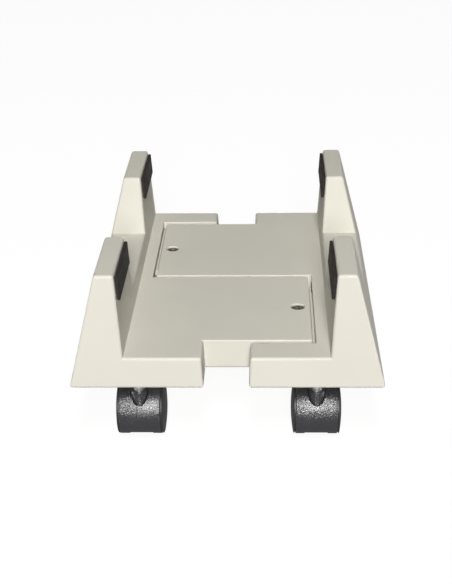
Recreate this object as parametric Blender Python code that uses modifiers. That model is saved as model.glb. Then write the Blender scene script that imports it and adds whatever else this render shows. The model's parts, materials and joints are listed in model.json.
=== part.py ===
"""CPU holder: a computer tower stand of adjustable width on four twin-wheel casters.

Two identical hollow mouldings face each other; the left one is the right one turned by half a turn.
Each has a rail with two posts, and a flat tongue that lies on the other moulding's ledge.
Metres, +Z up, +X to the right, -Y to the front. Origin: on the floor under the middle of the stand.
"""
import math

import bmesh
import bpy
from mathutils import Matrix

MM = 0.001

# Moulded halves
RIM_Z = 54.8 * MM                # lower rim of the mouldings above the floor
FLOOR_Z = 80.0 * MM              # plate that the tower stands on
SADDLE_Z = 96.3 * MM             # top of a rail between its posts
POST_Z = 146.8 * MM              # top of the posts
RIM_HALF_X = 122.3 * MM          # outer face of a rail at the rim
POST_HALF_X = 99.2 * MM          # outer face of a rail at the top of the posts
RIM_HALF_Y = 153.2 * MM          # end face at the rim
POST_HALF_Y = 145.1 * MM         # end face at the top of the posts
INNER_FLOOR_X = 79.7 * MM        # inner face of a rail at the plate
INNER_POST_X = 84.0 * MM         # inner face of a rail at the top of the posts
SADDLE_HALF_Y = 58.7 * MM        # half length of the saddle at its bottom
SADDLE_MOUTH_Y = 68.0 * MM       # half length of the saddle at its mouth
WALL = 2.8 * MM
EDGE_R = 2.3 * MM                # rounding of the outer edges
RIM_ROUND = 0.90                 # rounding of the rim's outer edge, as a share of EDGE_R
PANEL_ROUND = 0.25               # rounding of the edges of a tongue and of its recess
SHARP = math.radians(20)         # smallest turn between two faces that counts as an edge
MARGIN = 8.0 * MM                # how far a cutter reaches past what it cuts
RAIL_RIBS_Y = (-90.0 * MM, -30.0 * MM, 30.0 * MM, 90.0 * MM)

# Tongues and ledges
TONGUE_X = 66.2 * MM             # tip of a tongue
RECESS_X = 69.4 * MM             # end wall that the tongue's tip faces
MIDLINE_Y = 1.75 * MM            # a tongue's edge next to the other tongue
TONGUE_Y = 120.6 * MM            # a tongue's outer edge
RECESS_Y = 126.0 * MM            # side wall that the tongue's outer edge faces
NOTCH_NEAR_X = (16.9 * MM, 18.0 * MM)    # a notch's wall on the ledge side, at the rim and at the plate
NOTCH_FAR_X = (18.0 * MM, 19.3 * MM)     # its wall on the tongue side
LEDGE_GAP = 0.3 * MM
LEDGE_THICK = 5.0 * MM
LEDGE_TIP_X = 48.0 * MM
LEDGE_INNER_Y = 20.0 * MM
LEDGE_OUTER_Y = 117.4 * MM
TIP_WINDOW = 3.8 * MM            # reach of the opening under a tongue's tip
SEAM = 0.9 * MM                  # width of the two seams in the ledge in front of a tongue's tip
SEAM_DEPTH = 3.2 * MM
GUIDE_GAP = 0.4 * MM
RIB = 1.8 * MM

# Clamp: screw, washer and slide nut of the front tongue; the rear one is turned by half a turn
CLAMP_X = 56.4 * MM
CLAMP_Y = -61.0 * MM
SLIDE_OUT = 90.0 * MM
SLIDE_IN = 2.5 * MM
DISH_R = 7.8 * MM
DISH_Z = 74.6 * MM
HEAD_BORE_R = 6.1 * MM
HEAD_SEAT_Z = 76.4 * MM
HEAD_R = 5.8 * MM
HEAD_Z = 79.4 * MM
HEAD_CROWN = 0.6 * MM            # height of the head's rounded rim
HEAD_FLAT = 0.84                 # flat top of the head, as a share of HEAD_R
RECESS_ARM = 3.2 * MM            # half length of the cross recess at the top of the head
RECESS_WIDTH = 0.70 * MM         # half width of its arms there
RECESS_DEPTH = 1.4 * MM
SHANK_R = 2.5 * MM
SHANK_HOLE_R = 2.8 * MM
SCREW_END_Z = 64.4 * MM
NUT_HALF = 6.0 * MM
NUT_TOP_Z = 70.3 * MM
NUT_THICK = 3.5 * MM
WASHER_THICK = 1.0 * MM
FIT_GAP = 0.3 * MM

# Pads
PAD_THICK = 2.5 * MM
PAD_EDGE = 0.3 * MM
PAD_LOW_Z = 125.4 * MM
PAD_HIGH_Z = 144.1 * MM
PAD_NEAR_Y = 72.0 * MM
PAD_FAR_Y = 142.0 * MM

# Casters
STEM_X = 70.0 * MM
STEM_Y = 136.0 * MM
TRAIL = 12.3 * MM                # axle behind the stem
WHEEL_R = 21.5 * MM
WHEEL_IN_X = 9.2 * MM
WHEEL_FACE_X = 18.5 * MM
WHEEL_SLOT_X = (16.4 * MM, 17.5 * MM)    # groove between the tread and the wheel's outer lip
WHEEL_SLOT_DEPTH = 1.9 * MM
WHEEL_DOME_X = 20.2 * MM
WHEEL_DOME_STEPS = (0.0, 0.45, 0.78, 1.0)
WHEEL_WEB = 2.4 * MM
WHEEL_SHOULDER = 1.6 * MM
TREAD_THICK = 3.2 * MM
HUB_R = 6.0 * MM
BORE_R = 3.0 * MM
AXLE_R = 2.93 * MM
AXLE_HALF = 18.4 * MM
CHAMFER = 0.5 * MM
HOOD_R = 22.9 * MM
HOOD_WELL_R = 21.9 * MM
HOOD_HALF_X = 16.3 * MM
CORE_R = 19.6 * MM
CORE_HALF_X = 8.8 * MM
HOOD_TURN = 58.0                 # degrees from the front to the middle of the hood's arc
HOOD_CHORD = 1.9 * MM            # the hood's open side, measured from the axle
BOSS_R = 6.4 * MM
BOSS_Z = (28.5 * MM, 44.6 * MM)
JOURNAL_R = 4.0 * MM
JOURNAL_GAP = 0.08 * MM
JOURNAL_END_Z = 31.5 * MM
COLLAR_R = 5.7 * MM
COLLAR_Z = (47.0 * MM, 48.4 * MM)
STEM_R = 5.0 * MM
STEM_Z = 72.4 * MM
GROOVE_R = 4.3 * MM
GROOVE_Z = (67.6 * MM, 70.0 * MM)
GRIP_R = (4.5 * MM, 5.2 * MM)
GRIP_SPLIT = 1.2 * MM            # half width of the grip ring's split
SOCKET_R = 6.6 * MM
SOCKET_BORE_R = 5.3 * MM
SOCKET_FLANGE_R = 8.0 * MM
SOCKET_FLANGE = 1.5 * MM
SOCKET_Z = 72.8 * MM
SOCKET_BOSS_R = 8.4 * MM
SOCKET_BOSS_LIFT = 0.5 * MM      # the boss ends this far above the rim

FAR = 0.3                        # reach of a cutter that passes right through
ROUND = 24                       # sides of the larger round parts
HOOD_ROUND = 32                  # sides of the hoods
SMALL_ROUND = 16                 # sides of the smaller ones

OUTER_SLOPE = (POST_HALF_X - RIM_HALF_X) / (POST_Z - RIM_Z)
END_SLOPE = (POST_HALF_Y - RIM_HALF_Y) / (POST_Z - RIM_Z)
INNER_SLOPE = (INNER_POST_X - INNER_FLOOR_X) / (POST_Z - FLOOR_Z)
SADDLE_SLOPE = (SADDLE_MOUTH_Y - SADDLE_HALF_Y) / (POST_Z - SADDLE_Z)


def outer_x(z, inset=0.0):
    """Outer face of the right rail, moved inwards by inset."""
    return RIM_HALF_X + OUTER_SLOPE * (z - RIM_Z) - inset * math.hypot(1.0, OUTER_SLOPE)


def end_y(z, inset=0.0):
    """End face of the stand, moved inwards by inset."""
    return RIM_HALF_Y + END_SLOPE * (z - RIM_Z) - inset * math.hypot(1.0, END_SLOPE)


def inner_x(z, inset=0.0):
    """Inner face of the right rail, moved into the rail by inset."""
    return INNER_FLOOR_X + INNER_SLOPE * (z - FLOOR_Z) + inset * math.hypot(1.0, INNER_SLOPE)


def saddle_y(z, inset=0.0):
    """Sloping ends of the saddle, moved into the posts by inset."""
    return SADDLE_HALF_Y + SADDLE_SLOPE * (z - SADDLE_Z) + inset * math.hypot(1.0, SADDLE_SLOPE)


def notch_x(limits, z):
    """A notch's wall, which leans from its place at the rim to its place at the plate."""
    return limits[0] + (limits[1] - limits[0]) * (z - RIM_Z) / (FLOOR_Z - RIM_Z)


def clear_scene():
    for obj in list(bpy.data.objects):
        bpy.data.objects.remove(obj, do_unlink=True)


def new_collection(name):
    collection = bpy.data.collections.new(name)
    bpy.context.scene.collection.children.link(collection)
    return collection


def new_material(name, rgb, roughness, metallic=0.0):
    material = bpy.data.materials.new(name)
    material.use_nodes = True
    shader = material.node_tree.nodes["Principled BSDF"]
    shader.inputs["Base Color"].default_value = (*rgb, 1.0)
    shader.inputs["Roughness"].default_value = roughness
    shader.inputs["Metallic"].default_value = metallic
    return material


def mesh_from(bm, name):
    mesh = bpy.data.meshes.new(name)
    bm.to_mesh(mesh)
    bm.free()
    return mesh


def tool_object(name, mesh):
    """An object that only shapes others: it lives with the cutters and is never part of the stand."""
    obj = bpy.data.objects.new(name, mesh)
    obj.hide_render = True
    obj.display_type = "WIRE"
    cutters.objects.link(obj)
    return obj


def tapered_box(name, low, high):
    """A box between two level rectangles, each given as (x0, x1, y0, y1, z)."""
    bm = bmesh.new()
    bmesh.ops.create_cube(bm, size=2.0)
    for vert in bm.verts:
        x0, x1, y0, y1, z = high if vert.co.z > 0 else low
        vert.co = (x1 if vert.co.x > 0 else x0, y1 if vert.co.y > 0 else y0, z)
    return tool_object(name, mesh_from(bm, name))


def box(name, x, y, z):
    """An upright box between the pairs of limits x, y and z."""
    return tapered_box(name, (*x, *y, z[0]), (*x, *y, z[1]))


def add_cone(bm, radius, depth, sides):
    bmesh.ops.create_cone(
        bm, cap_ends=True, segments=sides, radius1=radius, radius2=radius, depth=depth,
    )


def cylinder(name, radius, z, at=(0.0, 0.0), sides=SMALL_ROUND, stretch=0.0):
    """An upright cylinder; stretch pulls its +X half out into a slot shape."""
    bm = bmesh.new()
    add_cone(bm, radius, z[1] - z[0], sides)
    bmesh.ops.rotate(bm, verts=bm.verts, matrix=Matrix.Rotation(math.pi / sides, 3, "Z"))
    for vert in bm.verts:
        vert.co.x += at[0] + (stretch if vert.co.x > 0 else 0.0)
        vert.co.y += at[1]
        vert.co.z += (z[0] + z[1]) / 2
    return tool_object(name, mesh_from(bm, name))


def cross_cylinder(name, radius, x, at, sides=ROUND):
    """A cylinder along X between the limits x, around the point at = (y, z)."""
    bm = bmesh.new()
    add_cone(bm, radius, x[1] - x[0], sides)
    for vert in bm.verts:
        across, up, along = vert.co
        vert.co = (along + (x[0] + x[1]) / 2, across + at[0], up + at[1])
    return tool_object(name, mesh_from(bm, name))


def cut(obj, tool, operation="DIFFERENCE"):
    modifier = obj.modifiers.new(tool.name, "BOOLEAN")
    modifier.operation = operation
    modifier.solver = "EXACT"
    modifier.object = tool


def join(obj, tool):
    cut(obj, tool, "UNION")


def baked(obj, name):
    """The object's shape with its modifiers applied, as a mesh of its own."""
    graph = bpy.context.evaluated_depsgraph_get()
    mesh = bpy.data.meshes.new_from_object(obj.evaluated_get(graph))
    mesh.name = name
    return mesh


def turned(name, profile, sides=SMALL_ROUND, closed=False):
    """A solid of revolution about Z from (radius, z) points that run down its outer side."""
    bm = bmesh.new()
    verts = [bm.verts.new((r, 0.0, z)) for r, z in profile]
    pairs = list(zip(verts, verts[1:]))
    if closed:
        pairs.append((verts[-1], verts[0]))
    for pair in pairs:
        bm.edges.new(pair)
    obj = tool_object(name, mesh_from(bm, name))
    screw = obj.modifiers.new("turn", "SCREW")
    screw.steps = sides
    screw.render_steps = sides
    screw.use_merge_vertices = True
    screw.merge_threshold = 0.00001
    return obj


def place(name, mesh, material, at=(0.0, 0.0, 0.0), turn=(0.0, 0.0, 0.0), parent=None, smooth=35.0):
    """Puts one named sub-part in the stand."""
    mesh.materials.clear()
    mesh.materials.append(material)
    mesh.shade_smooth()
    mesh.set_sharp_from_angle(angle=math.radians(smooth))
    obj = bpy.data.objects.new(name, mesh)
    obj.location = at
    obj.rotation_euler = turn
    obj.parent = parent
    stand.objects.link(obj)
    return obj


def half_form(name, inset, low):
    """The right moulding's outer form down to the height low, every face moved inwards by inset."""
    high = POST_Z - inset
    form = tapered_box(
        name,
        (inset - TONGUE_X, outer_x(low, inset), -end_y(low, inset), end_y(low, inset), low),
        (inset - TONGUE_X, outer_x(high, inset), -end_y(high, inset), end_y(high, inset), high),
    )
    sky = POST_Z + MARGIN
    floor, saddle = FLOOR_Z - inset, SADDLE_Z - inset
    through = (0.0, FAR)
    cut(form, tapered_box(
        name + "_bay",
        (-FAR, inner_x(floor, inset), -FAR, FAR, floor),
        (-FAR, inner_x(sky, inset), -FAR, FAR, sky),
    ))
    cut(form, tapered_box(
        name + "_saddle",
        (-FAR, FAR, -saddle_y(saddle, inset), saddle_y(saddle, inset), saddle),
        (-FAR, FAR, -saddle_y(sky, inset), saddle_y(sky, inset), sky),
    ))
    recess_y = (-RECESS_Y - inset, MIDLINE_Y + inset)
    cut(form, box(name + "_recess", (-FAR, RECESS_X + inset), recess_y, through))
    for end, limits, y in (
        ("rear", NOTCH_FAR_X, (TONGUE_Y - inset, FAR)), ("front", NOTCH_NEAR_X, (-FAR, -RECESS_Y + MARGIN)),
    ):
        cut(form, tapered_box(
            name + "_step_" + end,
            (-FAR, notch_x(limits, 0.0) + inset, *y, 0.0),
            (-FAR, notch_x(limits, sky) + inset, *y, sky),
        ))
    return form


def round_edges(obj):
    """Rounds the outer edges most, the rim less, and the tongue and its recess least."""
    mesh = obj.data
    bm = bmesh.new()
    bm.from_mesh(mesh)
    weight = bm.edges.layers.float.new("bevel_weight_edge")
    for edge in bm.edges:
        if edge.calc_face_angle() < SHARP:
            continue
        spots = [vert.co for vert in edge.verts]
        on_top = all(abs(spot.z - FLOOR_Z) < FIT_GAP for spot in spots)
        on_panel = on_top and all(
            spot.x < RECESS_X + FIT_GAP and abs(spot.y) < RECESS_Y + FIT_GAP for spot in spots
        )
        on_tip = all(spot.x < FIT_GAP - TONGUE_X for spot in spots)
        if all(spot.z < RIM_Z + FIT_GAP for spot in spots):
            edge[weight] = RIM_ROUND
        elif on_panel or on_tip:
            edge[weight] = PANEL_ROUND
        elif edge.is_convex:
            edge[weight] = 1.0
    bm.to_mesh(mesh)
    bm.free()
    bevel = obj.modifiers.new("rounding", "BEVEL")
    bevel.limit_method = "WEIGHT"
    bevel.width = EDGE_R
    bevel.segments = 3


def rail_rib(name, y):
    """A cross rib in the rail, from under the plate's edge to the outer wall."""
    low, high = RIM_Z + 2 * RIB, FLOOR_Z - WALL / 2
    start = RECESS_X + WALL / 2
    return tapered_box(
        name,
        (start, outer_x(low, WALL / 2), y - RIB / 2, y + RIB / 2, low),
        (start, outer_x(high, WALL / 2), y - RIB / 2, y + RIB / 2, high),
    )


def add_ledge(half):
    """The lower ledge that the other half's tongue lies on, with its slot, channel and nut guides."""
    top = FLOOR_Z - WALL - LEDGE_GAP
    bottom = top - LEDGE_THICK
    nut_run = (CLAMP_X - SLIDE_OUT, CLAMP_X + SLIDE_IN)
    join(half, box(
        "ledge", (-LEDGE_TIP_X, RECESS_X + WALL / 2), (-LEDGE_OUTER_Y, -LEDGE_INNER_Y), (bottom, top),
    ))
    for side in (-1, 1):
        near = NUT_HALF + GUIDE_GAP
        limits = sorted((CLAMP_Y + side * near, CLAMP_Y + side * (near + RIB)))
        join(half, box(
            f"nut_guide_{side}", (-LEDGE_TIP_X + RIB, RECESS_X + WALL / 2), limits,
            (NUT_TOP_Z - NUT_THICK + RIB, bottom + RIB),
        ))
    channel = DISH_R + FIT_GAP
    cut(half, box(
        "channel", (nut_run[0] - channel, nut_run[1] + channel), (CLAMP_Y - channel, CLAMP_Y + channel),
        (DISH_Z - FIT_GAP, FLOOR_Z - WALL / 2),
    ))
    for name, start in (("tip_seam", TONGUE_X), ("wall_seam", RECESS_X - SEAM)):
        cut(half, box(
            name, (start, start + SEAM), (-LEDGE_OUTER_Y - RIB, -LEDGE_INNER_Y + MARGIN),
            (top - SEAM_DEPTH, FLOOR_Z - WALL / 2),
        ))
    cut(half, cylinder(
        "slot", SHANK_HOLE_R, (RIM_Z, top), (nut_run[0], CLAMP_Y), stretch=nut_run[1] - nut_run[0],
    ))


def add_tongue_details(half):
    """Open tip, ledge guide and screw dish of the rear tongue."""
    plate = FLOOR_Z - WALL
    cut(half, box(
        "tip_window", (-TONGUE_X - MARGIN, -TONGUE_X + TIP_WINDOW),
        (LEDGE_INNER_Y - GUIDE_GAP, TONGUE_Y - WALL), (0.0, plate),
    ))
    join(half, box(
        "ledge_guide", (-TONGUE_X + WALL, LEDGE_TIP_X),
        (LEDGE_INNER_Y - GUIDE_GAP - RIB, LEDGE_INNER_Y - GUIDE_GAP), (RIM_Z + 3 * RIB, plate + WALL / 2),
    ))
    spot = (-CLAMP_X, -CLAMP_Y)
    join(half, cylinder("dish", DISH_R, (DISH_Z, plate + WALL / 2), spot))
    cut(half, cylinder("head_bore", HEAD_BORE_R, (HEAD_SEAT_Z, POST_Z), spot))
    cut(half, cylinder("shank_hole", SHANK_HOLE_R, (RIM_Z, POST_Z), spot))


def make_half():
    form = half_form("half", 0.0, RIM_Z)
    half = tool_object("half_rounded", baked(form, "half_rounded"))
    round_edges(half)
    core = tool_object("core_baked", baked(half_form("core", WALL, RIM_Z - MARGIN), "core_baked"))
    cut(half, core)
    add_ledge(half)
    add_tongue_details(half)
    for number, y in enumerate(RAIL_RIBS_Y):
        join(half, rail_rib(f"rail_rib_{number}", y))
    for side in (-1, 1):
        spot = (STEM_X, side * STEM_Y)
        join(half, cylinder(
            f"boss_{side}", SOCKET_BOSS_R, (RIM_Z + SOCKET_BOSS_LIFT, FLOOR_Z - WALL / 2), spot,
        ))
        cut(half, cylinder(
            f"boss_bore_{side}", SOCKET_R + FIT_GAP, (0.0, SOCKET_Z + FIT_GAP), spot,
        ))
    return baked(half, "half")


def make_pad(side, end):
    """A foam pad that follows the slope of a post's inner face."""
    back, front = FIT_GAP, FIT_GAP + PAD_THICK
    y = sorted((end * PAD_NEAR_Y, end * PAD_FAR_Y))
    rows = []
    for z in (PAD_LOW_Z, PAD_HIGH_Z):
        x = sorted((side * (inner_x(z) - back), side * (inner_x(z) - front)))
        rows.append((*x, *y, z))
    pad = tapered_box("pad_form", *rows)
    bevel = pad.modifiers.new("soft_edges", "BEVEL")
    bevel.width = PAD_EDGE
    bevel.segments = 1
    return baked(pad, "pad")


def make_clamp_screw():
    """Pan head with a cross recess on a plain shank."""
    seat = HEAD_SEAT_Z + FIT_GAP
    screw = turned("screw_form", [
        (0.0, HEAD_Z), (HEAD_R * HEAD_FLAT, HEAD_Z), (HEAD_R, HEAD_Z - HEAD_CROWN), (HEAD_R, seat),
        (SHANK_R, seat), (SHANK_R, SCREW_END_Z), (0.0, SCREW_END_Z),
    ])
    screw = tool_object("screw_baked", baked(screw, "screw_baked"))
    low, high = HEAD_Z - RECESS_DEPTH, HEAD_Z + RECESS_DEPTH / 2
    for name, x, y in (("arm_x", RECESS_ARM, RECESS_WIDTH), ("arm_y", RECESS_WIDTH, RECESS_ARM)):
        cut(screw, tapered_box("recess_" + name, (-x / 2, x / 2, -y / 2, y / 2, low), (-x, x, -y, y, high)))
    return baked(screw, "clamp_screw")


def make_slide_nut():
    nut = box("nut_form", (-NUT_HALF, NUT_HALF), (-NUT_HALF, NUT_HALF), (NUT_TOP_Z - NUT_THICK, NUT_TOP_Z))
    cut(nut, cylinder("nut_hole", SHANK_HOLE_R, (RIM_Z, FLOOR_Z)))
    return baked(nut, "slide_nut")


def make_washer():
    low = NUT_TOP_Z + FIT_GAP
    high = low + WASHER_THICK
    ring = [(NUT_HALF, high), (NUT_HALF, low), (SHANK_HOLE_R, low), (SHANK_HOLE_R, high)]
    return baked(turned("washer_form", ring, closed=True), "clamp_washer")


def make_socket():
    """Nylon sleeve for the stem, with a flange under the boss."""
    neck = RIM_Z - FIT_GAP
    flange = neck - SOCKET_FLANGE
    ring = [
        (SOCKET_R, SOCKET_Z), (SOCKET_R, neck), (SOCKET_FLANGE_R, neck), (SOCKET_FLANGE_R, flange),
        (SOCKET_BORE_R, flange), (SOCKET_BORE_R, SOCKET_Z),
    ]
    return baked(turned("socket_form", ring, closed=True), "caster_socket")


def make_stem():
    """Plated stem: journal in the hood, collar, shaft with the grip ring's groove."""
    return baked(turned("stem_form", [
        (0.0, STEM_Z), (STEM_R - CHAMFER, STEM_Z), (STEM_R, STEM_Z - CHAMFER),
        (STEM_R, GROOVE_Z[1]), (GROOVE_R, GROOVE_Z[1]), (GROOVE_R, GROOVE_Z[0]), (STEM_R, GROOVE_Z[0]),
        (STEM_R, COLLAR_Z[1]), (COLLAR_R, COLLAR_Z[1]), (COLLAR_R, COLLAR_Z[0]),
        (JOURNAL_R, COLLAR_Z[0]), (JOURNAL_R, JOURNAL_END_Z), (0.0, JOURNAL_END_Z),
    ]), "caster_stem")


def make_grip_ring():
    """Split ring in the stem's groove."""
    low, high = GROOVE_Z[0] + FIT_GAP, GROOVE_Z[1] - FIT_GAP
    inner, outer = GRIP_R
    ring = turned("grip_form", [(outer, high), (outer, low), (inner, low), (inner, high)], closed=True)
    ring = tool_object("grip_baked", baked(ring, "grip_baked"))
    cut(ring, box("grip_gap", (0.0, FAR), (-GRIP_SPLIT, GRIP_SPLIT), (0.0, FAR)))
    return baked(ring, "grip_ring")


def make_hood():
    """Hood with its core between the wheels and the upright boss; the stem's axis is at x = y = 0."""
    axle = (TRAIL, WHEEL_R)
    hood = cross_cylinder("hood_form", HOOD_R, (-HOOD_HALF_X, HOOD_HALF_X), axle, sides=HOOD_ROUND)
    bevel = hood.modifiers.new("hood_edge", "BEVEL")
    bevel.width = CHAMFER
    bevel.segments = 1
    bevel.angle_limit = math.radians(60)
    opening = box("hood_opening", (-FAR, FAR), (-FAR, FAR), (-FAR, -HOOD_CHORD))
    opening.location = (0.0, TRAIL, WHEEL_R)
    opening.rotation_euler = (math.radians(90 - HOOD_TURN), 0.0, 0.0)
    cut(hood, opening)
    for side in (-1, 1):
        x = sorted((side * CORE_HALF_X, side * FAR))
        cut(hood, cross_cylinder(f"wheel_well_{side}", HOOD_WELL_R, x, axle, sides=HOOD_ROUND))
    join(hood, cross_cylinder("hood_core", CORE_R, (-CORE_HALF_X, CORE_HALF_X), axle))
    join(hood, cylinder("hood_boss", BOSS_R, BOSS_Z))
    cut(hood, cylinder("stem_bore", JOURNAL_R + JOURNAL_GAP, (JOURNAL_END_Z - FIT_GAP, FAR)))
    cut(hood, cross_cylinder("axle_bore", AXLE_R + FIT_GAP, (-FAR, FAR), axle, sides=SMALL_ROUND))
    return baked(hood, "caster_hood")


def make_axle():
    return baked(turned("axle_form", [
        (0.0, AXLE_HALF), (AXLE_R - CHAMFER, AXLE_HALF), (AXLE_R, AXLE_HALF - CHAMFER),
        (AXLE_R, CHAMFER - AXLE_HALF), (AXLE_R - CHAMFER, -AXLE_HALF), (0.0, -AXLE_HALF),
    ]), "caster_axle")


def make_wheel():
    """Wheel cup turned about Z: domed outer face, tread, hollow inner side with a hub."""
    face_r = WHEEL_R - WHEEL_SHOULDER
    dome = [
        (face_r * share, WHEEL_DOME_X - (WHEEL_DOME_X - WHEEL_FACE_X) * share ** 2)
        for share in WHEEL_DOME_STEPS
    ]
    rim_in = WHEEL_R - TREAD_THICK
    slot_in, slot_out = WHEEL_SLOT_X
    web = slot_in - WHEEL_WEB
    lip_r = face_r + WHEEL_FACE_X - slot_out
    slot_r = WHEEL_R - WHEEL_SLOT_DEPTH
    bore_end = AXLE_HALF + FIT_GAP
    return baked(turned("wheel_form", dome + [
        (lip_r, slot_out), (slot_r, slot_out), (slot_r, slot_in), (WHEEL_R, slot_in), (WHEEL_R, WHEEL_IN_X),
        (rim_in, WHEEL_IN_X), (rim_in, web), (HUB_R, web), (HUB_R, WHEEL_IN_X),
        (BORE_R, WHEEL_IN_X), (BORE_R, bore_end), (0.0, bore_end),
    ], sides=ROUND), "caster_wheel")


def add_halves():
    mesh = make_half()
    place("right_frame", mesh, ivory)
    place("left_frame", mesh, ivory, turn=(0.0, 0.0, math.pi))
    for side, side_name in ((-1, "left"), (1, "right")):
        for end, end_name in ((-1, "front"), (1, "rear")):
            place(f"pad_{end_name}_{side_name}", make_pad(side, end), foam)


def add_clamps():
    screw, washer, nut = make_clamp_screw(), make_washer(), make_slide_nut()
    for end_name, turn in (("front", 0.0), ("rear", math.pi)):
        side = 1 if end_name == "front" else -1
        spot = (side * CLAMP_X, side * CLAMP_Y, 0.0)
        for part_name, mesh in (("clamp_screw", screw), ("clamp_washer", washer), ("slide_nut", nut)):
            place(f"{part_name}_{end_name}", mesh, zinc, spot, (0.0, 0.0, turn))


def add_casters():
    socket, stem, ring = make_socket(), make_stem(), make_grip_ring()
    hood, axle, wheel = make_hood(), make_axle(), make_wheel()
    sideways = math.pi / 2
    for end, end_name in ((-1, "front"), (1, "rear")):
        for side, side_name in ((-1, "left"), (1, "right")):
            spot = f"{end_name}_{side_name}"
            swivel = bpy.data.objects.new("swivel_" + spot, None)
            swivel.location = (side * STEM_X, end * STEM_Y, 0.0)
            swivel.rotation_euler = (0.0, 0.0, 0.0 if end < 0 else math.pi)
            stand.objects.link(swivel)
            place("caster_socket_" + spot, socket, nylon_white, parent=swivel)
            place("caster_stem_" + spot, stem, zinc, parent=swivel)
            place("grip_ring_" + spot, ring, zinc, parent=swivel)
            place("caster_hood_" + spot, hood, nylon_grey, parent=swivel)
            hub = (0.0, TRAIL, WHEEL_R)
            place("caster_axle_" + spot, axle, zinc, hub, (0.0, sideways, 0.0), swivel)
            place(f"wheel_{spot}_a", wheel, nylon_black, hub, (0.0, -sideways, 0.0), swivel)
            place(f"wheel_{spot}_b", wheel, nylon_black, hub, (0.0, sideways, 0.0), swivel)


clear_scene()
stand = new_collection("cpu_holder")
cutters = new_collection("cutters")
ivory = new_material("ivory_abs", (0.80, 0.77, 0.69), 0.45)
foam = new_material("black_foam", (0.022, 0.020, 0.018), 0.95)
zinc = new_material("zinc_plate", (0.72, 0.72, 0.70), 0.25, 1.0)
nylon_white = new_material("socket_nylon", (0.55, 0.55, 0.52), 0.5)
nylon_grey = new_material("hood_nylon", (0.065, 0.065, 0.072), 0.42)
nylon_black = new_material("wheel_nylon", (0.045, 0.045, 0.05), 0.5)
add_halves()
add_clamps()
add_casters()
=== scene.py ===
"""Looks of the CPU holder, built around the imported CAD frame. Metres, +Z up, -Y to the front."""

import json
import math

import bmesh
import bpy
from mathutils import Euler, Matrix, Vector
from mathutils import noise as mathnoise


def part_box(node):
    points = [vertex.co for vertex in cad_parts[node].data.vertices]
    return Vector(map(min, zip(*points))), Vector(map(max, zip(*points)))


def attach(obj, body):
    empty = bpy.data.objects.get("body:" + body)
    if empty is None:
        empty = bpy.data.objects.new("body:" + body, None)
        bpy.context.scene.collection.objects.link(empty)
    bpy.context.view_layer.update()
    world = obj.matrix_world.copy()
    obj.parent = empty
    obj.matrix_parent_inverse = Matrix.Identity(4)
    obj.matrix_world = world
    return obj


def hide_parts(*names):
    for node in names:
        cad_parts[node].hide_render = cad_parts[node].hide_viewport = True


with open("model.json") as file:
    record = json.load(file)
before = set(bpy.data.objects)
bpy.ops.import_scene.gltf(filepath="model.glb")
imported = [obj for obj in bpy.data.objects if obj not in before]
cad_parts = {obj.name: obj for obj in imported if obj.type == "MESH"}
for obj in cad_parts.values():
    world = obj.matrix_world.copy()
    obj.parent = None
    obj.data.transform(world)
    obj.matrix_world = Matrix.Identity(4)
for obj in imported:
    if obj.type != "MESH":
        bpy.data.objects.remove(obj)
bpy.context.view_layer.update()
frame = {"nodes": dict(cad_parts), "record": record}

MM = 0.001
CORNERS = [(end, side) for end in ("front", "rear") for side in ("left", "right")]
RECORD = frame["record"]
SLOT_OF = {part["node"]: part["material_slot"] for part in RECORD["subparts"]}
BODY_OF = {node: body for body, nodes in RECORD["behaviour"]["bodies"].items() for node in nodes}

# Camera: the view's height, side and tilt, and its distance
CAMERA_AT = (34.4 * MM, -968.1 * MM, 524.6 * MM)
CAMERA_PITCH = math.radians(25.4)
CAMERA_YAW = math.radians(2.36)
CAMERA_ROLL = math.radians(-1.15)
CAMERA_LENS = 74.96

# Studio: light from below, where the floor throws it back, and from all round above
BOUNCE = 0.25
AMBIENT = 0.09
FLOOR_RADIUS = 8.0
FLOOR_HEIGHT = 6.0
FLOOR_GLOW = 0.92                # keeps the pale floor white where it is out of the lights' reach
AIM = (0.0, 0.0, 0.08)           # what every light points at
PLAIN = (1.0, 1.0, 1.0)
WARM = (1.0, 0.99, 0.97)
LIGHTS = (                       # name, place, width and height in metres, watts, colour
    ("back_fill", (0.0, 4.0, -0.6), (0.4, 0.6), 42.0, PLAIN),
    ("left_fill", (-4.0, 0.3, -0.6), (1.6, 0.6), 34.0, PLAIN),
    ("right_fill", (4.0, 0.3, -0.6), (1.6, 0.6), 34.0, PLAIN),
    ("low_key", (0.17, -3.6, 1.7), (0.6, 1.6), 105.0, WARM),
    ("high_key", (0.1, -2.3, 3.3), (0.6, 1.6), 65.0, WARM),
)

# Moulded halves and pads
FLAT = math.radians(0.4)         # faces that turn by less than this are one face
SHELL_EASE = 0.2 * MM            # rounding of the edges that the CAD leaves sharp
PAD_DENT = 0.12 * MM             # unevenness of the foam
PAD_DENTS = 190.0                # its dents per metre
PAD_STEPS = ((1, 2.0 * MM), (2, 1.3 * MM))    # small faces of the foam, along Y and along Z

# Clamps
SHANK_R = 2.5 * MM
SHANK_HOLE_R = 2.8 * MM
HEAD_SUNK = 0.4 * MM             # top of the head below the top of its CAD solid
HEAD_LOW = 2.7 * MM              # underside of the head, below the same top
SCREW_TURN = math.radians(24)    # how far the cross recess is turned

# Casters
HOOD_CORE_X = 8.8 * MM           # half width of the hood's core
BOSS_R = 6.4 * MM
STEM_BORE_R = 4.08 * MM
STEM_BORE_GAP = 0.3 * MM         # from the bore's end to the stem's end
AXLE_BORE_R = 3.23 * MM
COLLAR_RISE = (3.0 * MM, 4.4 * MM)    # the stem's collar above the hood
OPENING_TURN = math.radians(32)  # slope of the hood's open side
OPENING_DROP = 1.0 * MM          # its distance below the axle

FAR = 0.1                        # how far a cutter reaches when it only has to be long enough
FINE = 96                        # sides of the large round parts
MEDIUM = 64                      # sides of the stems and screws


# ---------------------------------------------------------------- materials

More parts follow.
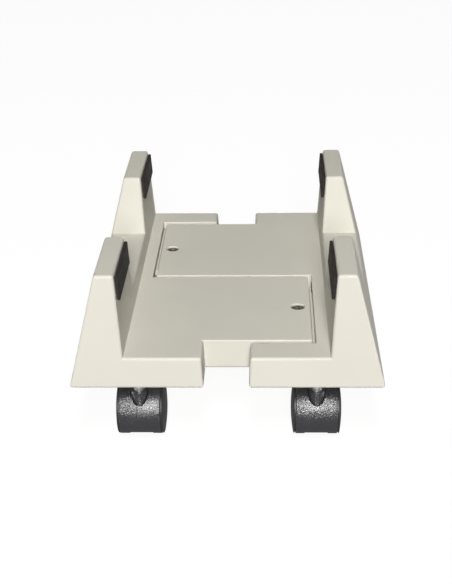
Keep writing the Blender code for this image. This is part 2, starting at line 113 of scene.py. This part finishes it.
def add_node(tree, kind, settings=None, **inputs):
    """Adds a shader node, sets its settings, and fills or links its inputs by name."""
    new = tree.nodes.new(kind)
    for key, value in (settings or {}).items():
        setattr(new, key, value)
    for key, value in inputs.items():
        socket = new.inputs[key.replace("_", " ")]
        if isinstance(value, bpy.types.NodeSocket):
            tree.links.new(value, socket)
        else:
            socket.default_value = value
    return new


def blank_material(name):
    material = bpy.data.materials.new(name)
    material.use_nodes = True
    tree = material.node_tree
    shader = tree.nodes["Principled BSDF"]
    place = add_node(tree, "ShaderNodeTexCoord").outputs["Object"]
    return material, tree, shader, place


def noise(tree, place, scale, detail=3.0, roughness=0.55):
    return add_node(
        tree, "ShaderNodeTexNoise", Vector=place, Scale=scale, Detail=detail, Roughness=roughness,
    ).outputs["Fac"]


def ramp(tree, value, stops):
    """A colour ramp from (position, colour) stops; a colour may be one grey value."""
    new = add_node(tree, "ShaderNodeValToRGB", Fac=value)
    elements = new.color_ramp.elements
    while len(elements) < len(stops):
        elements.new(0.5)
    for element, (position, colour) in zip(elements, stops):
        element.position = position
        element.color = (*colour, 1.0) if isinstance(colour, tuple) else (colour, colour, colour, 1.0)
    return new.outputs["Color"]


def remap(tree, value, low, high):
    return add_node(tree, "ShaderNodeMapRange", Value=value, To_Min=low, To_Max=high).outputs["Result"]


def bump(tree, height, distance, strength, normal=None):
    new = add_node(tree, "ShaderNodeBump", Height=height, Distance=distance, Strength=strength)
    if normal is not None:
        tree.links.new(normal, new.inputs["Normal"])
    return new.outputs["Normal"]


def finish_shader(tree, shader, colour, roughness, normal, metallic=0.0):
    for key, value in (("Base Color", colour), ("Roughness", roughness), ("Normal", normal)):
        tree.links.new(value, shader.inputs[key])
    shader.inputs["Metallic"].default_value = metallic


def ivory_abs():
    """Moulded ABS with a fine spark texture and faint flow mottling."""
    material, tree, shader, place = blank_material("ivory_abs")
    mottle = noise(tree, place, scale=14.0, detail=4.0)
    colour = ramp(tree, mottle, [(0.3, (0.738, 0.718, 0.636)), (0.7, (0.768, 0.748, 0.668))])
    grain = noise(tree, place, scale=2600.0, detail=2.0)
    smudge = noise(tree, place, scale=55.0, detail=5.0, roughness=0.65)
    roughness = remap(tree, smudge, 0.48, 0.64)
    normal = bump(tree, grain, distance=0.06 * MM, strength=0.5)
    finish_shader(tree, shader, colour, roughness, normal)
    return material


def black_foam():
    """Closed-cell foam: small pits in a soft, uneven skin."""
    material, tree, shader, place = blank_material("black_foam")
    pits = add_node(tree, "ShaderNodeTexVoronoi", Vector=place, Scale=1300.0).outputs["Distance"]
    uneven = noise(tree, place, scale=260.0, detail=4.0)
    colour = ramp(tree, uneven, [(0.25, (0.018, 0.015, 0.013)), (0.8, (0.036, 0.031, 0.027))])
    roughness = remap(tree, pits, 0.82, 1.0)
    soft = bump(tree, uneven, distance=0.4 * MM, strength=0.5)
    normal = bump(tree, pits, distance=0.25 * MM, strength=0.7, normal=soft)
    finish_shader(tree, shader, colour, roughness, normal)
    return material


def grained_nylon(name, dark, light, scale, depth):
    """Nylon with a leather grain from the mould."""
    material, tree, shader, place = blank_material(name)
    warped = add_node(tree, "ShaderNodeVectorMath", {"operation": "ADD"})
    tree.links.new(place, warped.inputs[0])
    wander = add_node(tree, "ShaderNodeTexNoise", Vector=place, Scale=scale * 0.6)
    shift = add_node(tree, "ShaderNodeVectorMath", {"operation": "SCALE"}, Scale=0.4 / scale)
    tree.links.new(wander.outputs["Color"], shift.inputs[0])
    tree.links.new(shift.outputs["Vector"], warped.inputs[1])
    cells = add_node(
        tree, "ShaderNodeTexVoronoi", {"feature": "DISTANCE_TO_EDGE"},
        Vector=warped.outputs["Vector"], Scale=scale,
    ).outputs["Distance"]
    creases = ramp(tree, cells, [(0.0, 0.0), (0.22, 1.0)])
    dust = noise(tree, place, scale=90.0, detail=5.0, roughness=0.7)
    colour = ramp(tree, dust, [(0.3, dark), (0.75, light)])
    roughness = remap(tree, creases, 0.33, 0.25)
    fine = bump(tree, noise(tree, place, scale=2400.0), distance=0.04 * MM, strength=0.3)
    normal = bump(tree, creases, distance=depth, strength=0.4, normal=fine)
    finish_shader(tree, shader, colour, roughness, normal)
    shader.inputs["Specular IOR Level"].default_value = 1.0
    shader.inputs["IOR"].default_value = 1.65
    return material


def smooth_nylon(name, dark, light, roughness_range):
    """Plain moulded nylon with scuffs that catch the light."""
    material, tree, shader, place = blank_material(name)
    scuffs = noise(tree, place, scale=140.0, detail=6.0, roughness=0.7)
    colour = ramp(tree, scuffs, [(0.35, dark), (0.72, light)])
    roughness = remap(tree, noise(tree, place, scale=420.0, detail=4.0), *roughness_range)
    normal = bump(tree, noise(tree, place, scale=1900.0), distance=0.05 * MM, strength=0.5)
    finish_shader(tree, shader, colour, roughness, normal)
    return material


def zinc_plate(name, dark, light):
    """Satin zinc plate: faint brushed rings and a slight cloudiness."""
    material, tree, shader, place = blank_material(name)
    cloud = noise(tree, place, scale=160.0, detail=4.0)
    colour = ramp(tree, cloud, [(0.3, dark), (0.7, light)])
    squeezed = add_node(tree, "ShaderNodeMapping", Vector=place, Scale=(0.15, 0.15, 1.0)).outputs["Vector"]
    rings = noise(tree, squeezed, scale=5200.0, detail=2.0)
    roughness = remap(tree, cloud, 0.42, 0.52)
    normal = bump(tree, rings, distance=0.03 * MM, strength=0.5)
    finish_shader(tree, shader, colour, roughness, normal, metallic=1.0)
    return material


def make_materials():
    return {
        "ivory_abs": ivory_abs(),
        "black_foam": black_foam(),
        "zinc_steel": zinc_plate("zinc_steel", (0.78, 0.79, 0.80), (0.90, 0.90, 0.89)),
        "screw_steel": zinc_plate("screw_steel", (0.32, 0.31, 0.275), (0.50, 0.485, 0.44)),
        "hood_nylon": grained_nylon(
            "hood_nylon", dark=(0.024, 0.024, 0.029), light=(0.040, 0.040, 0.048),
            scale=1300.0, depth=0.14 * MM,
        ),
        "wheel_nylon": smooth_nylon(
            "wheel_nylon", dark=(0.030, 0.030, 0.033), light=(0.050, 0.050, 0.054),
            roughness_range=(0.34, 0.48),
        ),
        "socket_nylon": smooth_nylon(
            "socket_nylon", dark=(0.50, 0.50, 0.47), light=(0.60, 0.60, 0.56),
            roughness_range=(0.35, 0.5),
        ),
    }


# ---------------------------------------------------------------- mesh helpers

def loose_object(name, mesh):
    """An object made from a mesh; one that is only used for shaping is taken out again by baked()."""
    obj = bpy.data.objects.new(name, mesh)
    bpy.context.scene.collection.objects.link(obj)
    return obj


def mesh_from(bm, name):
    mesh = bpy.data.meshes.new(name)
    bm.to_mesh(mesh)
    bm.free()
    return mesh


def baked(obj, name, tools=()):
    """The object's shape with its modifiers applied; the object and its tools are removed."""
    graph = bpy.context.evaluated_depsgraph_get()
    mesh = bpy.data.meshes.new_from_object(obj.evaluated_get(graph))
    mesh.name = name
    for used in (obj, *tools):
        bpy.data.objects.remove(used, do_unlink=True)
    return mesh


def shade(mesh, degrees=32.0):
    mesh.shade_smooth()
    mesh.set_sharp_from_angle(angle=math.radians(degrees))
    return mesh


def arc(centre, radius, start, end, steps=6):
    """Points (radius, height) along an arc, from start to end degrees, anticlockwise from outwards."""
    turns = [math.radians(start + (end - start) * i / steps) for i in range(steps + 1)]
    return [(centre[0] + radius * math.cos(t), centre[1] + radius * math.sin(t)) for t in turns]


def turned(name, profile, sides=MEDIUM, closed=False):
    """A solid of revolution about Z from (radius, z) points that run down its outer side."""
    bm = bmesh.new()
    verts = [bm.verts.new((r, 0.0, z)) for r, z in profile]
    for pair in zip(verts, verts[1:] + verts[:1] if closed else verts[1:]):
        bm.edges.new(pair)
    obj = loose_object(name, mesh_from(bm, name))
    screw = obj.modifiers.new("turn", "SCREW")
    screw.steps = sides
    screw.render_steps = sides
    screw.use_merge_vertices = True
    screw.merge_threshold = 0.005 * MM
    return obj


def box(name, low, high):
    bm = bmesh.new()
    bmesh.ops.create_cube(bm, size=1.0)
    for vert in bm.verts:
        vert.co = [low[i] if vert.co[i] < 0 else high[i] for i in range(3)]
    return loose_object(name, mesh_from(bm, name))


def rod(name, radius, low, high, axis="Z", at=(0.0, 0.0, 0.0), sides=FINE):
    """A cylinder along Z or X between low and high, through the point at."""
    bm = bmesh.new()
    bmesh.ops.create_cone(
        bm, cap_ends=True, segments=sides, radius1=radius, radius2=radius, depth=high - low,
    )
    bmesh.ops.translate(bm, verts=bm.verts, vec=(0.0, 0.0, (low + high) / 2))
    if axis == "X":
        bmesh.ops.rotate(bm, verts=bm.verts, matrix=Matrix.Rotation(math.pi / 2, 3, "Y"))
    bmesh.ops.translate(bm, verts=bm.verts, vec=at)
    return loose_object(name, mesh_from(bm, name))


def combine(obj, tool, operation):
    modifier = obj.modifiers.new(tool.name, "BOOLEAN")
    modifier.operation = operation
    modifier.solver = "EXACT"
    modifier.object = tool
    return tool


def ease_edges(obj, width, segments, degrees):
    bevel = obj.modifiers.new("eased", "BEVEL")
    bevel.width = width
    bevel.segments = segments
    bevel.limit_method = "ANGLE"
    bevel.angle_limit = math.radians(degrees)
    bevel.use_clamp_overlap = False


def joined_mesh(node):
    """A CAD node's mesh, to be edited, with its vertices joined and its flat faces whole again."""
    bm = bmesh.new()
    bm.from_mesh(frame["nodes"][node].data)
    bmesh.ops.remove_doubles(bm, verts=bm.verts, dist=0.001 * MM)
    bmesh.ops.dissolve_limit(bm, angle_limit=FLAT, verts=bm.verts, edges=bm.edges)
    bmesh.ops.recalc_face_normals(bm, faces=bm.faces)
    return bm


def stand_for(node, mesh, at=(0.0, 0.0, 0.0), turn=(0.0, 0.0, 0.0)):
    """Puts a finished mesh in the place of a CAD node, on that node's body and with its material."""
    piece = bpy.data.objects.new(node + "_fine", mesh)
    piece.location = at
    piece.rotation_euler = turn
    bpy.context.scene.collection.objects.link(piece)
    if not mesh.materials:
        mesh.materials.append(MATERIALS[SLOT_OF[node]])
    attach(piece, BODY_OF[node])
    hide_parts(node)
    return piece


# ---------------------------------------------------------------- the moulded halves and pads

def make_shells():
    """The mouldings: the CAD shape with eased edges, shaded so that its flat faces stay flat."""
    for node in ("left_frame", "right_frame"):
        shell = loose_object(node + "_loose", mesh_from(joined_mesh(node), node + "_loose"))
        shell.data.shade_smooth()
        ease_edges(shell, SHELL_EASE, 2, 50.0)
        flat = shell.modifiers.new("flat_faces", "WEIGHTED_NORMAL")
        flat.weight = 100
        stand_for(node, baked(shell, node + "_shell"))


def make_pads():
    """Foam strips: the CAD slab, cut into small faces and made slightly uneven."""
    for end, side in CORNERS:
        node = f"pad_{end}_{side}"
        bm = joined_mesh(node)
        for axis, step in PAD_STEPS:
            low, high = (limit(vert.co[axis] for vert in bm.verts) for limit in (min, max))
            normal = [float(j == axis) for j in range(3)]
            for i in range(1, round((high - low) / step)):
                point = [low + step * i if j == axis else 0.0 for j in range(3)]
                geometry = bm.verts[:] + bm.edges[:] + bm.faces[:]
                bmesh.ops.bisect_plane(bm, geom=geometry, plane_co=point, plane_no=normal)
        middle = sum((vert.co for vert in bm.verts), Vector()) / len(bm.verts)
        for vert in bm.verts:
            dent = 0.5 + 0.5 * mathnoise.noise(vert.co * PAD_DENTS)
            inwards = Vector((middle.x - vert.co.x, 0.0, 0.0)).normalized()
            vert.co += inwards * dent * PAD_DENT
        mesh = mesh_from(bm, node + "_foam")
        piece = stand_for(node, shade(mesh, 40.0))


# ---------------------------------------------------------------- clamps

def make_clamp_screw(head_r, head_low, head_top, end_z):
    """Pan head with a cross recess, and a ringed shank for the thread."""
    crown = 0.9 * MM
    pitch, depth = 0.8 * MM, 0.4 * MM
    profile = [(0.0, head_top), (head_r * 0.6, head_top - 0.06 * MM)]
    profile += arc((head_r - crown, head_top - crown - 0.15 * MM), crown, 75, 0)
    profile += [(head_r, head_low), (SHANK_R, head_low)]
    z = head_low - 1.2 * MM
    while z - pitch > end_z + 0.6 * MM:
        profile += [(SHANK_R, z), (SHANK_R - depth, z - pitch * 0.45), (SHANK_R, z - pitch * 0.9)]
        z -= pitch
    profile += [(SHANK_R, z), (SHANK_R, end_z + 0.6 * MM), (SHANK_R - 0.6 * MM, end_z), (0.0, end_z)]
    screw = turned("screw_loose", profile)
    tools = []
    arm, width, depth, taper = 3.6 * MM, 1.0 * MM, 2.0 * MM, 0.42
    for name, x, y in (("recess_x", arm, width), ("recess_y", width, arm)):
        tool = box(name, (-x, -y, head_top - depth), (x, y, head_top + MM))
        for vert in tool.data.vertices:
            if vert.co.z < head_top - depth / 2:
                vert.co.x *= taper
                vert.co.y *= taper
        tools.append(combine(screw, tool, "DIFFERENCE"))
    ease_edges(screw, 0.06 * MM, 1, 40.0)
    mesh = shade(baked(screw, "clamp_screw_mesh", tools))
    mesh.materials.clear()
    mesh.materials.append(MATERIALS["screw_steel"])
    return mesh


def make_slide_nut(half, low, high):
    nut = box("nut_loose", (-half, -half, low), (half, half, high))
    hole = rod("nut_hole", SHANK_HOLE_R, low - MM, high + MM, sides=MEDIUM)
    combine(nut, hole, "DIFFERENCE")
    ease_edges(nut, 0.35 * MM, 2, 50.0)
    return shade(baked(nut, "slide_nut_mesh", [hole]))


def make_washer(outer, low, high):
    r = 0.25 * MM
    ring = arc((outer - r, high - r), r, 90, 0, 3) + arc((outer - r, low + r), r, 0, -90, 3)
    ring += [(SHANK_HOLE_R, low), (SHANK_HOLE_R, high)]
    return shade(baked(turned("washer_loose", ring, closed=True), "washer_mesh"))


def make_clamps():
    low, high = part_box("clamp_screw_front")
    screw_at = (low + high) / 2
    head_r = (high.x - low.x) / 2
    screw = make_clamp_screw(head_r, high.z - HEAD_LOW, high.z - HEAD_SUNK, low.z)
    nut_low, nut_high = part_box("slide_nut_front")
    nut = make_slide_nut((nut_high.x - nut_low.x) / 2, nut_low.z, nut_high.z)
    washer_low, washer_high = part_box("clamp_washer_front")
    washer = make_washer((washer_high.x - washer_low.x) / 2, washer_low.z, washer_high.z)
    for end, sign in (("front", 1), ("rear", -1)):
        at = (sign * screw_at.x, sign * screw_at.y, 0.0)
        turn = (0.0, 0.0, SCREW_TURN * sign)
        stand_for(f"clamp_screw_{end}", screw, at, turn)
        stand_for(f"slide_nut_{end}", nut, at)
        stand_for(f"clamp_washer_{end}", washer, at)


# ---------------------------------------------------------------- casters

def make_wheel(radius, inner_x, dome_x):
    """Wheel cup about Z: domed disc with a ring, lip, slot beside the hood, tread, hub and web inside."""
    rim, hub, bore = 3.2 * MM, 6.0 * MM, 3.0 * MM
    shoulder, drop = 1.6 * MM, 1.7 * MM
    slot = (dome_x - 3.8 * MM, dome_x - 2.7 * MM)
    slot_r = radius - 1.0 * MM
    web = dome_x - 6.2 * MM
    bore_end = dome_x - 1.5 * MM
    face_r = radius - shoulder
    ring = (0.76, 0.80)
    profile = []
    for share in [i / 16 for i in range(17)] + [ring[0], ring[0] + 0.015, ring[1] - 0.015, ring[1]]:
        sunk = 0.35 * MM if ring[0] < share < ring[1] else 0.0
        profile.append((face_r * share, dome_x - drop * share ** 2 - sunk))
    profile.sort()
    profile += arc((face_r, dome_x - drop - shoulder), shoulder, 78, 20)
    profile += [(slot_r, slot[1]), (slot_r, slot[0]), (radius, slot[0]), (radius, inner_x + 0.6 * MM)]
    profile += arc((radius - 0.6 * MM, inner_x + 0.6 * MM), 0.6 * MM, 0, -90, 3)
    profile += [(radius - rim, inner_x), (radius - rim, web), (hub, web), (hub, inner_x)]
    profile += [(bore, inner_x), (bore, bore_end), (0.0, bore_end)]
    return shade(baked(turned("wheel_loose", profile, FINE), "wheel_mesh"), 28.0)


def make_hood(half_x, outer_r, boss_z, axle, bore_z):
    """Hood with a solid core between the wheels, and an upright boss with a groove round its foot."""
    well_r = outer_r - MM
    core_r = outer_r - 3.3 * MM
    hood = rod("hood_loose", outer_r, -half_x, half_x, "X", axle)
    ease_edges(hood, 0.7 * MM, 3, 60.0)
    tools = []
    opening = box("opening", (-FAR, -FAR, -FAR), (FAR, FAR, -OPENING_DROP))
    opening.location = axle
    opening.rotation_euler = (OPENING_TURN, 0.0, 0.0)
    tools.append(combine(hood, opening, "DIFFERENCE"))
    for sign in (-1, 1):
        low, high = sorted((sign * HOOD_CORE_X, sign * FAR))
        tools.append(combine(hood, rod(f"well_{sign}", well_r, low, high, "X", axle), "DIFFERENCE"))
    core = rod("core", core_r, -HOOD_CORE_X, HOOD_CORE_X, "X", axle)
    ease_edges(core, 0.5 * MM, 2, 60.0)
    tools.append(combine(hood, core, "UNION"))
    groove = rod("groove", BOSS_R + 1.1 * MM, axle[2], boss_z + MM)
    keep = rod("groove_floor", outer_r - 2.0 * MM, -FAR, FAR, "X", axle)
    combine(groove, keep, "DIFFERENCE")
    tools += [combine(hood, groove, "DIFFERENCE"), keep]
    boss = rod("boss", BOSS_R, axle[2] + 8.0 * MM, boss_z)
    ease_edges(boss, 0.7 * MM, 3, 60.0)
    tools.append(combine(hood, boss, "UNION"))
    tools.append(combine(hood, rod("stem_bore", STEM_BORE_R, bore_z, FAR), "DIFFERENCE"))
    tools.append(combine(hood, rod("axle_bore", AXLE_BORE_R, -FAR, FAR, "X", axle), "DIFFERENCE"))
    return shade(baked(hood, "hood_mesh", tools), 30.0)


def make_stem(low, high, collar_r, collar_z):
    """Journal, rounded collar, shaft with a groove for the grip ring, and a chamfered tip."""
    shaft_r, journal_r, groove_r = 5.0 * MM, 4.0 * MM, 4.3 * MM
    groove_high, groove_low = high - 2.4 * MM, high - 4.8 * MM
    r = (collar_z[1] - collar_z[0]) / 2
    profile = [(0.0, high), (shaft_r - 0.8 * MM, high), (shaft_r, high - 0.8 * MM)]
    profile += [(shaft_r, groove_high), (groove_r, groove_high)]
    profile += [(groove_r, groove_low), (shaft_r, groove_low)]
    profile += [(shaft_r, collar_z[1] + 0.4 * MM), (shaft_r + 0.15 * MM, collar_z[1])]
    profile += arc((collar_r - r, collar_z[1] - r), r, 80, -80, 8)
    profile += [(journal_r, collar_z[0]), (journal_r, low + 0.5 * MM)]
    profile += [(journal_r - 0.5 * MM, low), (0.0, low)]
    return shade(baked(turned("stem_loose", profile), "stem_mesh"))


def make_socket(low, high, flange_r):
    body_r, bore_r = 6.6 * MM, 5.3 * MM
    neck = low + 1.5 * MM
    r = 0.4 * MM
    ring = [(body_r - r, high), (body_r, high - r), (body_r, neck)]
    ring += arc((flange_r - r, neck - r), r, 90, 0, 3) + arc((flange_r - r, low + r), r, 0, -90, 3)
    ring += [(bore_r + r, low), (bore_r, low + r), (bore_r, high)]
    return shade(baked(turned("socket_loose", ring, closed=True), "socket_mesh"))


def make_grip_ring(low, high, outer):
    inner = 4.5 * MM
    r = 0.5 * MM
    middle = (low + high) / 2
    ring = arc((outer - r, high - r), r, 90, 0, 3) + [(outer, middle)]
    ring += arc((outer - r, low + r), r, 0, -90, 3)
    ring += [(inner, low), (inner, high)]
    obj = turned("grip_loose", ring, closed=True)
    gap = box("grip_gap", (0.0, -1.2 * MM, 0.0), (FAR, 1.2 * MM, FAR))
    combine(obj, gap, "DIFFERENCE")
    return shade(baked(obj, "grip_mesh", [gap]))


def make_axle(reach, radius):
    c = 0.5 * MM
    profile = [(0.0, reach), (radius - c, reach), (radius, reach - c), (radius, c - reach)]
    profile += [(radius - c, -reach), (0.0, -reach)]
    return shade(baked(turned("axle_loose", profile), "axle_mesh"))


def make_casters():
    """One set of meshes, made from the front left caster's boxes, placed at all four corners."""
    wheel_low, wheel_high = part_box("wheel_front_left_b")
    stem_low, stem_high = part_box("caster_stem_front_left")
    hood_low, hood_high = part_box("caster_hood_front_left")
    socket_low, socket_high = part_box("caster_socket_front_left")
    ring_low, ring_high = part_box("grip_ring_front_left")
    axle_low, axle_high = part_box("caster_axle_front_left")
    stem_at = (stem_low + stem_high) / 2
    radius = (wheel_high.z - wheel_low.z) / 2
    axle = (0.0, (wheel_low.y + wheel_high.y) / 2 - stem_at.y, radius)
    collar_r = (stem_high.x - stem_low.x) / 2
    collar_z = [hood_high.z + rise for rise in COLLAR_RISE]
    outer_r = axle[1] - (hood_low.y - stem_at.y)
    meshes = {
        "caster_hood": make_hood(
            (hood_high.x - hood_low.x) / 2, outer_r, hood_high.z, axle, stem_low.z - STEM_BORE_GAP,
        ),
        "caster_stem": make_stem(stem_low.z, stem_high.z, collar_r, collar_z),
        "caster_socket": make_socket(socket_low.z, socket_high.z, (socket_high.x - socket_low.x) / 2),
        "grip_ring": make_grip_ring(ring_low.z, ring_high.z, (ring_high.y - ring_low.y) / 2),
    }
    pin = make_axle((axle_high.x - axle_low.x) / 2, (axle_high.z - axle_low.z) / 2)
    wheel = make_wheel(radius, wheel_low.x - stem_at.x, wheel_high.x - stem_at.x)
    for end, side in CORNERS:
        corner = f"{end}_{side}"
        low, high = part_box("caster_stem_" + corner)
        facing = Matrix.Rotation(0.0 if end == "front" else math.pi, 4, "Z")
        place = Matrix.Translation(((low.x + high.x) / 2, (low.y + high.y) / 2, 0.0)) @ facing
        for part, mesh in meshes.items():
            stand_for(f"{part}_{corner}", mesh, place.translation, place.to_euler())
        for node, mesh, lean in (
            (f"caster_axle_{corner}", pin, 1),
            (f"wheel_{corner}_a", wheel, -1),
            (f"wheel_{corner}_b", wheel, 1),
        ):
            seat = place @ Matrix.Translation(axle) @ Matrix.Rotation(lean * math.pi / 2, 4, "Y")
            stand_for(node, mesh, seat.translation, seat.to_euler())


# ---------------------------------------------------------------- studio

def area_light(name, at, size, energy, colour):
    data = bpy.data.lights.new(name, "AREA")
    data.shape = "RECTANGLE"
    data.size, data.size_y = size
    data.energy = energy
    data.color = colour
    light = bpy.data.objects.new(name, data)
    light.location = at
    light.rotation_euler = (Vector(AIM) - Vector(at)).to_track_quat("-Z", "Y").to_euler()
    bpy.context.scene.collection.objects.link(light)


def make_floor():
    """A wide, closed drum whose inside is the floor and the backdrop; it only shows to the camera."""
    bm = bmesh.new()
    bmesh.ops.create_cone(
        bm, cap_ends=True, segments=MEDIUM, radius1=FLOOR_RADIUS, radius2=FLOOR_RADIUS, depth=FLOOR_HEIGHT,
    )
    bmesh.ops.translate(bm, verts=bm.verts, vec=(0.0, 0.0, FLOOR_HEIGHT / 2))
    bmesh.ops.reverse_faces(bm, faces=bm.faces)
    floor = loose_object("studio_floor", mesh_from(bm, "studio_floor"))
    material, _, shader, _ = blank_material("studio_floor")
    shader.inputs["Base Color"].default_value = (0.12, 0.12, 0.12, 1.0)
    shader.inputs["Roughness"].default_value = 0.9
    shader.inputs["Specular IOR Level"].default_value = 0.1
    shader.inputs["Emission Color"].default_value = (*PLAIN, 1.0)
    shader.inputs["Emission Strength"].default_value = FLOOR_GLOW
    floor.data.materials.append(material)
    floor.visible_diffuse = False
    floor.visible_glossy = False
    floor.visible_shadow = False


def make_world():
    """Even light from all round, with a brighter part below the horizon."""
    world = bpy.data.worlds.new("studio")
    world.use_nodes = True
    tree = world.node_tree
    direction = add_node(tree, "ShaderNodeTexCoord").outputs["Generated"]
    height = add_node(tree, "ShaderNodeSeparateXYZ", Vector=direction).outputs["Z"]
    glow = add_node(
        tree, "ShaderNodeMapRange",
        Value=height, From_Min=-0.25, From_Max=-0.02, To_Min=BOUNCE, To_Max=AMBIENT,
    ).outputs["Result"]
    tree.links.new(glow, tree.nodes["Background"].inputs["Strength"])
    tree.nodes["Background"].inputs["Color"].default_value = (*PLAIN, 1.0)
    bpy.context.scene.world = world


def make_lights():
    for light in LIGHTS:
        area_light(*light)


def make_camera():
    data = bpy.data.cameras.new("camera")
    data.lens = CAMERA_LENS
    data.clip_end = 20.0
    camera = bpy.data.objects.new("camera", data)
    aim = Euler((math.pi / 2 - CAMERA_PITCH, 0.0, CAMERA_YAW)).to_matrix()
    aim = aim @ Matrix.Rotation(CAMERA_ROLL, 3, "Z")
    camera.matrix_world = Matrix.Translation(CAMERA_AT) @ aim.to_4x4()
    bpy.context.scene.collection.objects.link(camera)
    bpy.context.scene.camera = camera


MATERIALS = make_materials()
make_camera()
make_floor()
make_world()
make_lights()
make_shells()
make_pads()
make_clamps()
make_casters()
bpy.context.scene.view_settings.view_transform = "Standard"
